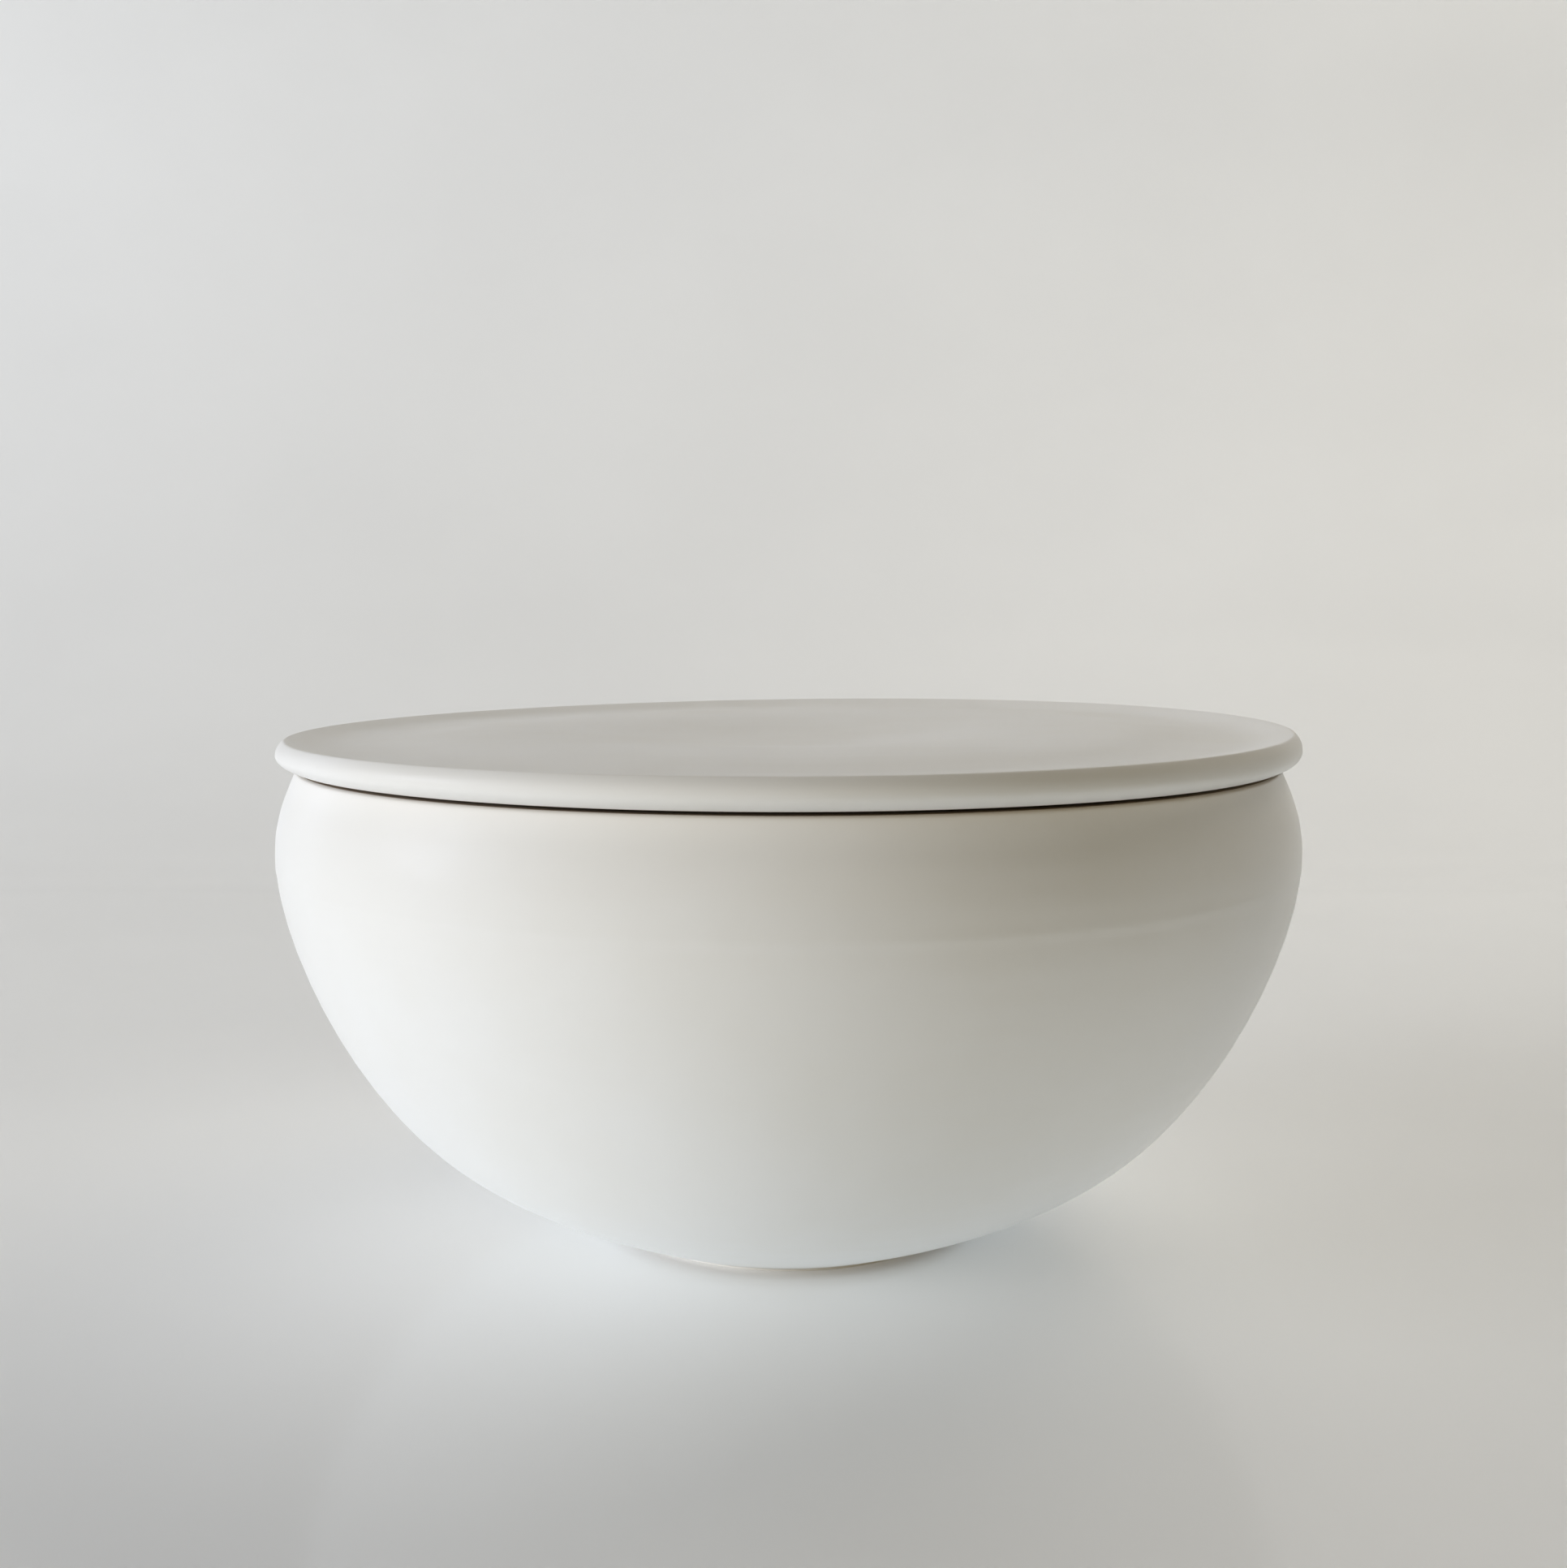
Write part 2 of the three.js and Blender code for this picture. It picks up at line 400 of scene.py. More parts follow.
class Wheel:
    """Turns half outlines into closed pieces with one tree of geometry nodes."""

    SIZES = ("Spiral Depth", "Spiral Pitch", "Wobble", "Wobble Size", "Seed", "Warp Tilt", "Warp Twist",
             "Warp Radius", "Warp Start Height", "Warp Seat Height", "Warp Crest Height", "Warp Seat Share")
    LAYERS = ("cover", "touch", "travel")
    MERGE_DISTANCE = 0.004 * MM
    INDEX_GUARD = 0.5  # half an index, so that rounding never moves a point to the row before
    LEVEL_PART = (1.0, 1.0, 0.0)
    PATCH_FINENESS = 24.0  # per metre
    PATCH_STEP = (0.3, 0.7)
    PATCH_LEAST = 0.25  # share of the spiral's depth that is left where it shows least

    def __init__(self, warp: KilnWarp) -> None:
        """Builds the turning tree once, for every piece that is thrown with this warp.

        Args:
            warp: How the kiln has moved rim and lid.
        """
        self.warp = warp
        self.tree = bpy.data.node_groups.new("turned_clay", "GeometryNodeTree")
        face = self.tree.interface
        face.new_socket("Outline", in_out="INPUT", socket_type="NodeSocketGeometry")
        face.new_socket("Around", in_out="INPUT", socket_type="NodeSocketInt")
        for name in self.SIZES:
            face.new_socket(name, in_out="INPUT", socket_type="NodeSocketFloat")
        face.new_socket("Finish", in_out="INPUT", socket_type="NodeSocketMaterial")
        face.new_socket("Piece", in_out="OUTPUT", socket_type="NodeSocketGeometry")
        self._lay_out(Graph(self.tree))

    def _lay_out(self, graph: Graph) -> None:
        """Lays out the tree: spin the outline, close it, mark it, dress it.

        Args:
            graph: The tree being built.
        """
        given = graph.add("NodeGroupInput").outputs
        spun = self._spin(graph, given["Outline"], given["Around"])
        offset = graph.vector("ADD", self._hand_marks(graph, given), self._warp_lift(graph, given))
        marked = graph.add("GeometryNodeSetPosition", {"Geometry": spun, "Offset": offset}).outputs[0]
        smooth = graph.add("GeometryNodeSetShadeSmooth", {"Geometry": marked}).outputs[0]
        real = graph.add("GeometryNodeRealizeInstances", {"Geometry": smooth}).outputs[0]
        feeds = {"Geometry": real, "Material": given["Finish"]}
        dressed = graph.add("GeometryNodeSetMaterial", feeds).outputs[0]
        graph.add("NodeGroupOutput", {"Piece": dressed})

    def _spin(self, graph: Graph, outline: Socket, around: Socket) -> Socket:
        """Spins the outline's points about the upright axis and closes the seam and the poles.

        Args:
            graph: The tree being built.
            outline: The half outline, with its layers of numbers.
            around: Number of steps round the axis.

        Returns:
            The closed surface, with the outline's layers on its points.
        """
        columns = graph.math("ADD", around, 1.0)
        count = graph.add("GeometryNodeAttributeDomainSize", {"Geometry": outline}, component="MESH")
        feeds = {"Vertices X": count.outputs["Point Count"], "Vertices Y": columns}
        surface = graph.add("GeometryNodeMeshGrid", feeds).outputs["Mesh"]
        index = graph.add("GeometryNodeInputIndex").outputs[0]
        row = graph.math("FLOOR", graph.math("DIVIDE", graph.math("ADD", index, self.INDEX_GUARD), columns))
        column = graph.math("SUBTRACT", index, graph.math("MULTIPLY", row, columns))
        angle = graph.math("MULTIPLY", graph.math("DIVIDE", column, around), math.tau)
        for name in self.LAYERS:
            feeds = {"Geometry": outline, "Value": graph.layer(name), "Index": row}
            value = graph.add("GeometryNodeSampleIndex", feeds, data_type="FLOAT").outputs[0]
            feeds = {"Geometry": surface, "Name": name, "Value": value}
            surface = graph.add("GeometryNodeStoreNamedAttribute", feeds, data_type="FLOAT").outputs[0]
        place = graph.add("GeometryNodeInputPosition").outputs[0]
        feeds = {"Geometry": outline, "Value": place, "Index": row}
        cut = graph.add("GeometryNodeSampleIndex", feeds, data_type="FLOAT_VECTOR").outputs[0]
        radius, _, height = graph.add("ShaderNodeSeparateXYZ", {0: cut}).outputs[:3]
        feeds = {
            "X": graph.math("MULTIPLY", radius, graph.math("COSINE", angle)),
            "Y": graph.math("MULTIPLY", radius, graph.math("SINE", angle)),
            "Z": height,
        }
        turned = graph.add("ShaderNodeCombineXYZ", feeds).outputs[0]
        placed = graph.add("GeometryNodeSetPosition", {"Geometry": surface, "Position": turned}).outputs[0]
        feeds = {"Geometry": placed, "Distance": self.MERGE_DISTANCE}
        return graph.add("GeometryNodeMergeByDistance", feeds).outputs[0]

    def _hand_marks(self, graph: Graph, given: Any) -> Socket:
        """How far the fingers' spiral and the hand's wobble move each point.

        Args:
            graph: The tree being built.
            given: The tree's input sockets.

        Returns:
            The offset.
        """
        place = graph.add("GeometryNodeInputPosition").outputs[0]
        x, y, _ = graph.add("ShaderNodeSeparateXYZ", {0: place}).outputs[:3]
        turns = graph.math("DIVIDE", graph.layer("travel"), given["Spiral Pitch"])
        phase = graph.math("ADD", graph.math("MULTIPLY", turns, math.tau), graph.math("ARCTAN2", y, x))
        patchy = graph.noise(place, self.PATCH_FINENESS, seed=given["Seed"])
        patches = graph.ramp(patchy, *self.PATCH_STEP, self.PATCH_LEAST)
        depth = graph.math("MULTIPLY", graph.layer("touch"), given["Spiral Depth"])
        ripple = graph.math("MULTIPLY", graph.math("SINE", phase), graph.math("MULTIPLY", depth, patches))
        normal = graph.add("GeometryNodeInputNormal").outputs[0]
        outward = graph.vector("NORMALIZE", graph.vector("MULTIPLY", place, self.LEVEL_PART))
        fineness = graph.math("DIVIDE", 1.0, given["Wobble Size"])
        waves = graph.noise(place, fineness, detail=0.0, seed=given["Seed"])
        drift = graph.math("SUBTRACT", waves, NOISE_MIDDLE)
        sway = graph.math("MULTIPLY", drift, given["Wobble"])
        return graph.vector("ADD", graph.scaled(normal, ripple), graph.scaled(outward, sway))

    @staticmethod
    def _warp_lift(graph: Graph, given: Any) -> Socket:
        """How far the kiln has lifted each point: alike on rim and lid, so that they still meet.

        Args:
            graph: The tree being built.
            given: The tree's input sockets.

        Returns:
            The offset, straight up or down.
        """
        place = graph.add("GeometryNodeInputPosition").outputs[0]
        x, y, z = graph.add("ShaderNodeSeparateXYZ", {0: place}).outputs[:3]
        share = given["Warp Seat Share"]
        rest = graph.math("SUBTRACT", 1.0, share)
        seat = graph.ramp(z, given["Warp Start Height"], given["Warp Seat Height"], 0.0, share)
        crest = graph.ramp(z, given["Warp Seat Height"], given["Warp Crest Height"], 0.0, rest)
        side = graph.math("DIVIDE", x, given["Warp Radius"])
        back = graph.math("DIVIDE", y, given["Warp Radius"])
        lean = graph.math("ADD", given["Warp Tilt"], graph.math("MULTIPLY", back, given["Warp Twist"]))
        lift = graph.math("MULTIPLY", graph.math("MULTIPLY", side, lean), graph.math("ADD", seat, crest))
        return graph.add("ShaderNodeCombineXYZ", {"Z": lift}).outputs[0]

    def throw(self, name: str, outline: Outline, marks: WheelMarks,
              finish: bpy.types.Material) -> bpy.types.Object:
        """Turns one outline into a plain closed mesh.

        Args:
            name: The piece's name.
            outline: Half of its cut face.
            marks: The marks of making that it carries.
            finish: The material that covers it.

        Returns:
            The piece's object, at the origin.
        """
        blank = outline.blank(name + "_outline")
        turner = blank.modifiers.new("turned", "NODES")
        turner.node_group = self.tree
        warp = self.warp
        sizes = (marks.spiral_depth, marks.spiral_pitch, marks.wobble, marks.wobble_size, marks.seed,
                 warp.tilt, warp.twist, warp.radius, warp.start_height, warp.seat_height,
                 warp.crest_height, warp.seat_share)
        settings = {"Around": marks.around, "Finish": finish, **dict(zip(self.SIZES, sizes))}
        for item in self.tree.interface.items_tree:
            if item.name in settings:
                turner[item.identifier] = settings[item.name]
        depsgraph = bpy.context.evaluated_depsgraph_get()
        turned = blank.evaluated_get(depsgraph)
        mesh = bpy.data.meshes.new_from_object(turned, preserve_all_data_layers=True, depsgraph=depsgraph)
        mesh.name = name
        mesh.materials.clear()
        mesh.materials.append(finish)
        blank.modifiers.remove(turner)
        bpy.data.objects.remove(blank)
        self._face_outwards(mesh)
        piece = bpy.data.objects.new(name, mesh)
        bpy.context.scene.collection.objects.link(piece)
        return piece

    @staticmethod
    def _face_outwards(mesh: bpy.types.Mesh) -> None:
        """Turns every face of a closed mesh to point out of its clay.

        Args:
            mesh: The mesh, which is changed in place.
        """
        work = bmesh.new()
        work.from_mesh(mesh)
        bmesh.ops.recalc_face_normals(work, faces=work.faces)
        if work.calc_volume(signed=True) < 0:
            bmesh.ops.reverse_faces(work, faces=work.faces)
        work.to_mesh(mesh)
        work.free()


@dataclass(frozen=True)
class SatinGlaze:
    """White satin glaze, cloudy where it pooled, that leaves brown clay bare where the pieces touch; the
    clay is dark so that it also paints shade into the seam.
    """

    name: str
    colour: Colour
    thin_share: float = 0.965
    thin_powers: Colour = (0.7, 0.9, 1.4)
    cloud_size: float = 38 * MM
    cloud_detail: float = 3.0
    cloud_step: Step = (0.3, 0.7)
    roughness: float = 0.31
    roughness_drift: float = 0.025
    sheen_size: float = 16 * MM
    sheen_detail: float = 1.0
    sheen_step: Step = (0.2, 0.8)
    line_pitch: float = 1.3 * MM
    line_length: float = 70 * MM
    line_height: float = 0.012 * MM
    line_detail: float = 1.0
    # The bare clay is a darker brown than a pale stoneware, so the bare faces inside the gap between lid and
    # rim read dark. The tone is partly the clay's own colour and partly painted seam shade.
    clay: Colour = (0.42, 0.345, 0.27)
    clay_dark_grain_and_seam_shade: Colour = (0.33, 0.26, 0.2)
    clay_roughness: float = 0.85
    clay_grain_size: float = 0.5 * MM
    clay_grain_height: float = 0.03 * MM
    clay_grain_detail: float = 3.0
    bare_raggedness: float = 0.6
    bare_step: Step = (0.35, 0.65)

    def make(self) -> bpy.types.Material:
        """Builds the glaze's nodes.

        Returns:
            The new material.
        """
        material = bpy.data.materials.new(self.name)
        material.use_nodes = True
        material.node_tree.nodes.clear()
        graph = Graph(material.node_tree)
        place = graph.add("ShaderNodeTexCoord").outputs["Object"]
        pools = graph.noise(place, 1 / self.cloud_size, self.cloud_detail, Drawn.CLOUD.value)
        cloud = graph.ramp(pools, *self.cloud_step)
        travel = graph.add("ShaderNodeAttribute", attribute_name="travel").outputs["Fac"]
        climb = graph.add("ShaderNodeCombineXYZ", {"Z": graph.math("DIVIDE", travel, self.line_pitch)})
        along = graph.vector("MULTIPLY", place, tuple(c / self.line_length for c in ONES))
        wound = graph.vector("ADD", along, climb.outputs[0])
        lines = graph.noise(wound, 1.0, self.line_detail, Drawn.LINES.value)
        clay_grain = graph.noise(place, 1 / self.clay_grain_size, self.clay_grain_detail,
                                 Drawn.CLAY_GRAIN.value)
        thin = tuple(c * self.thin_share ** k for c, k in zip(self.colour, self.thin_powers))
        glaze_tone = graph.tint(cloud, opaque(thin), opaque(self.colour))
        # The bare clay tone, whose dark brown is partly painted shade for the seam
        clay_and_seam_shade_tone = graph.tint(clay_grain, opaque(self.clay_dark_grain_and_seam_shade), opaque(self.clay))
        ragged = graph.math("MULTIPLY", graph.math("SUBTRACT", clay_grain, NOISE_MIDDLE),
                            self.bare_raggedness)
        cover = graph.add("ShaderNodeAttribute", attribute_name="cover").outputs["Fac"]
        bare = graph.ramp(graph.math("ADD", cover, ragged), *self.bare_step)
        breath = graph.noise(place, 1 / self.sheen_size, self.sheen_detail, Drawn.SHEEN.value)
        sheen = graph.ramp(breath, *self.sheen_step, self.roughness - self.roughness_drift,
                           self.roughness + self.roughness_drift)
        roughness = graph.blend(bare, sheen, self.clay_roughness)
        fine = graph.math("MULTIPLY", lines, self.line_height)
        coarse = graph.math("MULTIPLY", clay_grain, self.clay_grain_height)
        relief = graph.add("ShaderNodeBump", {
            "Strength": 1.0,
            "Distance": 1.0,
            "Height": graph.blend(bare, fine, coarse),
        })
        shader = graph.add("ShaderNodeBsdfPrincipled", {
            "Base Color": graph.tint(bare, glaze_tone, clay_and_seam_shade_tone),
            "Roughness": roughness,
            "Normal": relief.outputs[0],
        })
        graph.add("ShaderNodeOutputMaterial", {"Surface": shader.outputs[0]})
        return material


@dataclass
class Bowl:
    """The bowl: foot, low cone, full belly, drawn-in shoulder and flat rim, thrown in one."""

    belly_radius: float
    rim_height: float
    foot_radius: float = 37.2 * MM
    foot_edge: float = 0.5 * MM
    foot_slope: float = math.radians(22.9)
    knee_radius: float = 80.3 * MM
    knee_height: float = 24 * MM
    knee_slope: float = math.radians(42.4)
    shoulder_rise: float = 17.7 * MM
    shoulder_draw: float = 4.7 * MM
    rim_lean: float = math.radians(23.7)
    rim_round: float = 0.8 * MM
    mouth_round: float = 1.3 * MM
    wall: float = 5.6 * MM
    floor: float = 7 * MM
    foot_ring: float = 5.5 * MM
    foot_recess: float = 1.8 * MM
    foot_round: float = 0.7 * MM
    trim_height: float = 82.4 * MM
    trim_depth: float = 0.05 * MM
    trim_width: float = 1.0 * MM
    foot_pulls: tuple[float, float] = (1 / 3, 1 / 3)
    belly_pulls: tuple[float, float] = (0.36, 0.228)
    shoulder_pulls: tuple[float, float] = (0.447, 0.226)
    floor_share: float = 1 / 3
    recess_steps: int = 24
    ring_steps: int = 8
    low_steps: int = 60
    belly_steps: int = 130
    shoulder_steps: int = 40
    rim_steps: int = 6
    rim_bare_points: int = 2
    inner_shoulder_steps: int = 20
    inner_belly_steps: int = 56
    inner_low_steps: int = 24
    floor_steps: int = 40
    marks: WheelMarks = WheelMarks(
        around=176, spiral_depth=0.09 * MM, spiral_pitch=6.2 * MM, wobble=0.5 * MM, wobble_size=90 * MM,
        seed=3.0)

    @property
    def belly_height(self) -> float:
        """Height of the widest circle."""
        return self.rim_height - self.shoulder_rise

    @property
    def rim_radius(self) -> float:
        """Radius of the rim's outer edge."""
        return self.belly_radius - self.shoulder_draw

    @property
    def mouth_radius(self) -> float:
        """Radius of the rim's inner edge."""
        return self.rim_radius - self.wall / math.cos(self.rim_lean)

    def _wall_curves(self) -> tuple[Sweep, Sweep, Sweep]:
        """Draws the outer wall.

        Returns:
            Its three curves, from the foot's edge up to the rim.
        """
        foot = spot(self.foot_radius, self.foot_edge)
        knee = spot(self.knee_radius, self.knee_height)
        belly = spot(self.belly_radius, self.belly_height)
        rim = spot(self.rim_radius, self.rim_height)
        return (
            Sweep.headed(foot, self.foot_slope, knee, self.knee_slope, self.foot_pulls),
            Sweep.headed(knee, self.knee_slope, belly, UPRIGHT, self.belly_pulls),
            Sweep.headed(belly, UPRIGHT, rim, UPRIGHT + self.rim_lean, self.shoulder_pulls),
        )

    @staticmethod
    def _stations(curve: Sweep, steps: int, first: float = 0.0) -> list[Station]:
        """Stations along a curve, from a first share of it to its end."""
        shares = [first + (1 - first) * i / steps for i in range(steps + 1)]
        return [Station(curve.at(t), curve.heading(t)) for t in shares]

    def _trimmed(self, station: Station) -> Vector:
        """The outside, with the ridge and groove of the trimming tool.

        Args:
            station: A station of the outer wall.

        Returns:
            The point there, moved out on the ridge and in on the groove.
        """
        above = (station.point.y - self.trim_height) / self.trim_width
        ridge = math.exp(-(above - 1) ** 2) - math.exp(-(above + 1) ** 2)
        return station.outward(self.trim_depth * ridge)

    def _inner(self, station: Station) -> Vector:
        """The inside, where the clay thickens towards the foot.

        Args:
            station: A station of the outer wall.

        Returns:
            The point of the inner wall that lies behind it.
        """
        low = max(0.0, 1 - station.point.y / self.belly_height)
        thickness = self.wall + (self.foot_recess + self.floor - self.wall) * low * low
        return station.outward(-thickness)

    def _run_foot(self, cut: Outline) -> None:
        """Walks the underside: the recess, its edge and the ring that the bowl stands on.

        Args:
            cut: The outline that is walked.
        """
        recess_radius = self.foot_radius - self.foot_ring
        middle = spot(0.0, self.foot_recess)
        edge = spot(recess_radius - self.foot_recess, self.foot_recess)
        inner = spot(recess_radius, 0.0)
        outer = spot(self.foot_radius, 0.0)
        step = spot(self.foot_radius, self.foot_edge)
        cut.run(line(middle, edge - spot(self.foot_round, 0.0), self.recess_steps))
        cut.run(corner(middle, edge, inner, self.foot_round))
        cut.run(corner(edge, inner, outer, self.foot_round), Cover.BARE_CLAY, Touch.TRUED)
        outer_round = self.foot_edge / 2
        flat = line(inner + spot(self.foot_round, 0.0), outer - spot(outer_round, 0.0), self.ring_steps)
        cut.run(flat, Cover.BARE_CLAY, Touch.TRUED)
        cut.run(corner(inner, outer, step, outer_round), touch=Touch.TRUED)

    def outline(self) -> Outline:
        """Walks the cut face: under the foot, up the outside, over the rim, down the inside.

        Returns:
            Half of the cut face.
        """
        cut = Outline()
        low, side, shoulder = self._wall_curves()
        outside = self._stations(low, self.low_steps) + self._stations(side, self.belly_steps)
        outside += self._stations(shoulder, self.shoulder_steps)
        inside = self._stations(low, self.inner_low_steps, self.floor_share)
        inside += self._stations(side, self.inner_belly_steps)
        inside += self._stations(shoulder, self.inner_shoulder_steps)
        rim = spot(self.rim_radius, self.rim_height)
        mouth = spot(self.mouth_radius, self.rim_height)
        inner = [self._inner(station) for station in reversed(inside)]
        self._run_foot(cut)
        cut.run(self._trimmed(s) for s in outside if (s.point - rim).length > self.rim_round)
        over = corner(rim - shoulder.heading(1.0), rim, mouth, self.rim_round)
        cut.run(over[:-self.rim_bare_points])
        # The rim's top is bare where the lid rests. The dark clay there paints shade into the seam.
        cut.run(over[-self.rim_bare_points:], Cover.BARE_CLAY, Touch.TRUED)
        flat = line(rim - spot(self.rim_round, 0.0), mouth + spot(self.mouth_round, 0.0), self.rim_steps)
        cut.run(flat, Cover.BARE_CLAY, Touch.TRUED)
        cut.run(corner(rim, mouth, inner[0], self.mouth_round))
        cut.run(inner, touch=Touch.THROWN)
        cut.run(self._floor(low), touch=Touch.THROWN)
        return cut

    def _floor(self, low: Sweep) -> list[Vector]:
        """The floor inside, from the wall to the axis, level in the middle.

        Args:
            low: The lowest curve of the outer wall.

        Returns:
            The floor's points, in walking order.
        """
        foot = Station(low.at(self.floor_share), low.heading(self.floor_share))
        edge = self._inner(foot)
        level = self.foot_recess + self.floor
        reach = (edge.y - level) * foot.heading.x / foot.heading.y
        return bend(edge, spot(edge.x - reach, level), spot(0.0, level), self.floor_steps)

    def build(self, wheel: Wheel, finish: bpy.types.Material) -> bpy.types.Object:
        """Throws the bowl and puts it in the place of its solid.

        Args:
            wheel: What turns the outline.
            finish: The bowl's glaze.

        Returns:
            The finished piece.
        """
        piece = wheel.throw("bowl_thrown", self.outline(), self.marks, finish)
        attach(piece, "bowl")
        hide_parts("bowl")
        return piece


@dataclass
class Lid:
    """The lid: a dished disc with a rounded, overhanging edge and a flange that centres it."""

    radius: float
    crest_height: float
    flange_foot: float
    rim_radius: float
    mouth_radius: float
    edge_height: float = 6.6 * MM
    seat_relief: float = 0.5 * MM
    lip_overhang: float = 0.9 * MM
    lip_slope: float = math.radians(20)
    nose_drop: float = 3.2 * MM
    crest_inset: float = 1.7 * MM
    crest_slope: float = math.radians(140)
    crest_round: float = 0.4 * MM
    edge_pulls: tuple[float, float] = (0.36, 0.36)
    gutter_fall: float = 0.3
    gutter_inset: float = 13.5 * MM
    gutter_depth: float = 1.6 * MM
    swell_inset: float = 44 * MM
    swell_depth: float = 0.4 * MM
    centre_depth: float = 2.6 * MM
    flange_clearance: float = 1.2 * MM
    flange_wall: float = 5 * MM
    flange_round: float = 1.5 * MM
    root_round: float = 1.2 * MM
    crest_reach: float = 0.1
    underside_steps: int = 48
    seat_steps: int = 4
    lip_steps: int = 6
    lower_edge_steps: int = 14
    upper_edge_steps: int = 20
    dish_steps: int = 30
    swell_steps: int = 40
    centre_steps: int = 56
    marks: WheelMarks = WheelMarks(
        around=176, spiral_depth=0.05 * MM, spiral_pitch=7.5 * MM, wobble=0.4 * MM, wobble_size=110 * MM,
        seed=8.0)

    @property
    def seat_height(self) -> float:
        """Height of the face that rests on the rim."""
        return self.crest_height - self.edge_height

    def _run_underside(self, cut: Outline) -> None:
        """Walks the flat underside, round the flange, to the edge of the seat.

        Args:
            cut: The outline that is walked.
        """
        outer = self.mouth_radius - self.flange_clearance
        inner = outer - self.flange_wall
        middle = spot(0.0, self.seat_height)
        root_in = spot(inner, self.seat_height)
        tip_in = spot(inner, self.flange_foot)
        tip_out = spot(outer, self.flange_foot)
        root_out = spot(outer, self.seat_height)
        seat_end = spot((self.mouth_radius + self.rim_radius) / 2, self.seat_height)
        flat = line(middle, root_in - spot(self.root_round, 0.0), self.underside_steps)
        cut.run(flat, touch=Touch.THROWN)
        cut.run(corner(middle, root_in, tip_in, self.root_round))
        cut.run(corner(root_in, tip_in, tip_out, self.flange_round), Cover.BARE_CLAY, Touch.TRUED)
        cut.run(corner(tip_in, tip_out, root_out, self.flange_round), Cover.BARE_CLAY, Touch.TRUED)
        cut.run(corner(tip_out, root_out, seat_end, self.root_round), Cover.BARE_CLAY, Touch.TRUED)
        seat = line(root_out + spot(self.root_round, 0.0), seat_end, self.seat_steps)
        cut.run(seat, Cover.BARE_CLAY, Touch.TRUED)
        # The relief from the seat up to the lip does not rest on the rim. It is left bare too, so the dark
        # clay paints shade into the seam.
        cut.run(line(seat_end, self._lip(), self.lip_steps), Cover.BARE_CLAY, Touch.TRUED)

    def _lip(self) -> Vector:
        """The edge's lowest corner, a little clear of the rim below it."""
        return spot(self.rim_radius + self.lip_overhang, self.seat_height + self.seat_relief)

    def _run_edge(self, cut: Outline, dish: Sweep) -> None:
        """Walks up the rounded edge from its lip, over the widest circle, to the crisp crest.

        Args:
            cut: The outline that is walked.
            dish: The first curve of the dish, which starts at the crest.
        """
        nose = spot(self.radius, self.crest_height - self.nose_drop)
        lower = Sweep.headed(self._lip(), self.lip_slope, nose, UPRIGHT, self.edge_pulls)
        upper = Sweep.headed(nose, UPRIGHT, dish.start, self.crest_slope, self.edge_pulls)
        before, after = upper.at(1 - self.crest_reach), dish.at(self.crest_reach)
        rise = upper.points(self.upper_edge_steps)
        cut.run(lower.points(self.lower_edge_steps))
        cut.run(point for point in rise if (point - dish.start).length > self.crest_round)
        cut.run(corner(before, dish.start, after, self.crest_round))

    def outline(self) -> Outline:
        """Walks the cut face: flat underside, flange, seat, rounded edge, dish.

        Returns:
            Half of the cut face.
        """
        cut = Outline()
        crest = spot(self.radius - self.crest_inset, self.crest_height)
        gutter = spot(self.radius - self.gutter_inset, self.crest_height - self.gutter_depth)
        swell = spot(self.radius - self.swell_inset, self.crest_height - self.swell_depth)
        centre = spot(0.0, self.crest_height - self.centre_depth)
        fall = crest.lerp(gutter, self.gutter_fall)
        dish = Sweep(crest, fall, spot((crest.x + gutter.x) / 2, gutter.y), gutter)
        self._run_underside(cut)
        self._run_edge(cut, dish)
        slope = dish.points(self.dish_steps)
        cut.run(point for point in slope if (point - crest).length > self.crest_round)
        cut.run(Sweep.level(gutter, swell).points(self.swell_steps))
        cut.run(Sweep.level(swell, centre).points(self.centre_steps))
        return cut

    def build(self, wheel: Wheel, finish: bpy.types.Material) -> bpy.types.Object:
        """Throws the lid and puts it in the place of its solid.

        Args:
            wheel: What turns the outline.
            finish: The lid's glaze.

        Returns:
            The finished piece.
        """
        piece = wheel.throw("lid_thrown", self.outline(), self.marks, finish)
        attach(piece, "lid")
        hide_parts("lid")
        return piece


@dataclass(frozen=True)
class SoftLamp:
    """One broad studio lamp."""

    name: str
    place: tuple[float, float, float]
    size: tuple[float, float]
    watts: float
    tint: Colour
    aim: tuple[float, float, float]
    mirrored: bool = False

    def hang(self) -> bpy.types.Object:
        """Hangs the lamp, out of the camera's sight.

        Returns:
            The lamp's object.
        """
        light = bpy.data.lights.new(self.name, "AREA")
        light.shape = "RECTANGLE"
        light.size, light.size_y = self.size
        light.energy = self.watts
        light.color = self.tint
        lamp = bpy.data.objects.new(self.name, light)
        lamp.location = self.place
        lamp.rotation_euler = (Vector(self.aim) - Vector(self.place)).to_track_quat("-Z", "Y").to_euler()
        lamp.visible_camera = False
        lamp.visible_glossy = self.mirrored
        bpy.context.scene.collection.objects.link(lamp)
        return lamp


